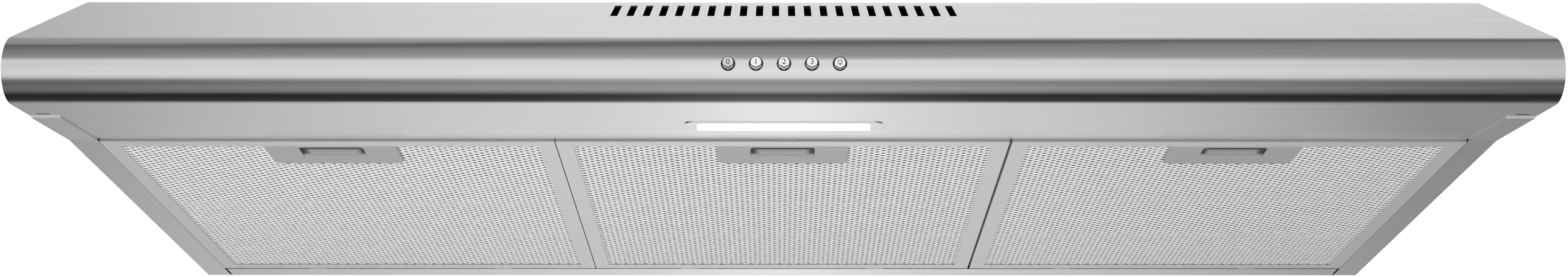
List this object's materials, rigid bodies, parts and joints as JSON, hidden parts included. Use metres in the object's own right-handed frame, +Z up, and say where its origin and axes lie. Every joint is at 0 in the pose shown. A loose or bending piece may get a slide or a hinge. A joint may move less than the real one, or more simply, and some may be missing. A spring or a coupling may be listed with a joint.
{
  "type": "under cabinet range hood",
  "caption": "Slim under-cabinet range hood with a bull-nosed front, slotted visor, push buttons, lamp, drop-down mesh filters and a round duct collar.",
  "frame": {"origin": "centre of the four cabinet screws, on the outer face of the flat top", "axes": "+X along the width to the right seen from the front, +Y back to the wall, +Z up"},
  "size_m": [0.9, 0.4845, 0.1573],
  "materials": {
    "stainless": "brushed along X",
    "filter_frame": "satin",
    "filter_mesh": "expanded mesh",
    "handle": "fine matt",
    "button": "turned satin",
    "lens": "frosted, lit",
    "white_plastic": "moulded",
    "black_plastic": "moulded",
    "rubber": "matt",
    "wire": "sleeved",
    "winding": "laminated stack",
    "spring_steel": "blued",
    "shaft_steel": "ground",
    "rotor": "die-cast",
    "galvanised": "zinc coated"
  },
  "bodies": {
    "hood": {"canopy_shell": "stainless", "side_panel_left": "stainless", "side_panel_right": "stainless", "rear_panel": "stainless", "brace_left": "galvanised", "brace_right": "galvanised", "rivets": "galvanised", "lamp_bezel": "stainless", "lamp_lens": "lens", "lamp_housing": "galvanised", "led_board": "white_plastic", "led_driver": "white_plastic", "switch_body": "black_plastic", "switch_bracket": "galvanised", "strike_1": "spring_steel", "strike_2": "spring_steel", "strike_3": "spring_steel", "duct_collar": "galvanised", "shutter_rails": "galvanised", "recirculation_duct": "galvanised", "blower_top": "galvanised", "blower_bottom": "galvanised", "inlet_rings": "black_plastic", "blower_screws": "galvanised", "motor_housing": "galvanised", "motor_stator": "winding", "motor_bracket": "galvanised", "capacitor": "white_plastic", "terminal_box": "galvanised", "terminal_cover": "galvanised", "cable_grommet": "rubber", "internal_wiring": "wire"},
    "filter_left": {"filter_frame_1": "filter_frame", "filter_mesh_1": "filter_mesh", "handle_plate_1": "handle", "latch_spring_1": "spring_steel"},
    "latch_left": {"latch_slide_1": "handle"},
    "filter_centre": {"filter_frame_2": "filter_frame", "filter_mesh_2": "filter_mesh", "handle_plate_2": "handle", "latch_spring_2": "spring_steel"},
    "latch_centre": {"latch_slide_2": "handle"},
    "filter_right": {"filter_frame_3": "filter_frame", "filter_mesh_3": "filter_mesh", "handle_plate_3": "handle", "latch_spring_3": "spring_steel"},
    "latch_right": {"latch_slide_3": "handle"},
    "button_0": {"button_0": "button"},
    "button_1": {"button_1": "button"},
    "button_2": {"button_2": "button"},
    "button_3": {"button_3": "button"},
    "button_light": {"button_light": "button"},
    "fan": {"motor_shaft": "shaft_steel", "motor_rotor": "rotor", "fan_wheel_left": "black_plastic", "fan_wheel_right": "black_plastic"},
    "damper_front": {"damper_front": "galvanised"},
    "damper_rear": {"damper_rear": "galvanised"},
    "shutter": {"vent_shutter": "galvanised"}
  },
  "joints": [
    {"name": "filter_left_swing", "type": "hinge", "parent": "hood", "child": "filter_left", "pos_m": [-0.28853, 0.15926, -0.1319], "axis": [1, 0, 0], "range_deg": [0, 65], "deforming": ["strike_1"]},
    {"name": "latch_left_slide", "type": "slide", "parent": "filter_left", "child": "latch_left", "axis": [0, 0.9934, -0.1149], "range_m": [0, 0.004], "stiffness_N_per_m": 400, "springref_m": -0.004, "deforming": ["latch_spring_1"]},
    {"name": "filter_centre_swing", "type": "hinge", "parent": "hood", "child": "filter_centre", "pos_m": [-0.0005, 0.15926, -0.1319], "axis": [1, 0, 0], "range_deg": [0, 65], "deforming": ["strike_2"]},
    {"name": "latch_centre_slide", "type": "slide", "parent": "filter_centre", "child": "latch_centre", "axis": [0, 0.9934, -0.1149], "range_m": [0, 0.004], "stiffness_N_per_m": 400, "springref_m": -0.004, "deforming": ["latch_spring_2"]},
    {"name": "filter_right_swing", "type": "hinge", "parent": "hood", "child": "filter_right", "pos_m": [0.28853, 0.15926, -0.1319], "axis": [1, 0, 0], "range_deg": [0, 65], "deforming": ["strike_3"]},
    {"name": "latch_right_slide", "type": "slide", "parent": "filter_right", "child": "latch_right", "axis": [0, 0.9934, -0.1149], "range_m": [0, 0.004], "stiffness_N_per_m": 400, "springref_m": -0.004, "deforming": ["latch_spring_3"]},
    {"name": "button_0_press", "type": "slide", "parent": "hood", "child": "button_0", "axis": [0, 1, 0], "range_m": [0, 0.003], "stiffness_N_per_m": 300, "springref_m": -0.003},
    {"name": "button_1_press", "type": "slide", "parent": "hood", "child": "button_1", "axis": [0, 1, 0], "range_m": [0, 0.003], "stiffness_N_per_m": 300, "springref_m": -0.003},
    {"name": "button_2_press", "type": "slide", "parent": "hood", "child": "button_2", "axis": [0, 1, 0], "range_m": [0, 0.003], "stiffness_N_per_m": 300, "springref_m": -0.003},
    {"name": "button_3_press", "type": "slide", "parent": "hood", "child": "button_3", "axis": [0, 1, 0], "range_m": [0, 0.003], "stiffness_N_per_m": 300, "springref_m": -0.003},
    {"name": "button_light_press", "type": "slide", "parent": "hood", "child": "button_light", "axis": [0, 1, 0], "range_m": [-0.002, 0.001]},
    {"name": "fan_spin", "type": "hinge", "parent": "hood", "child": "fan", "pos_m": [0, 0.028, -0.06106], "axis": [1, 0, 0], "continuous": true},
    {"name": "damper_rear_swing", "type": "hinge", "parent": "hood", "child": "damper_rear", "pos_m": [0, 0.035, 0.0045], "axis": [1, 0, 0], "range_deg": [0, 75]},
    {"name": "damper_front_swing", "type": "hinge", "parent": "hood", "child": "damper_front", "pos_m": [0, 0.029, 0.0045], "axis": [-1, 0, 0], "range_deg": [0, 75]},
    {"name": "vent_shutter_slide", "type": "slide", "parent": "hood", "child": "shutter", "axis": [1, 0, 0], "range_m": [0, 0.00502]}
  ]
}
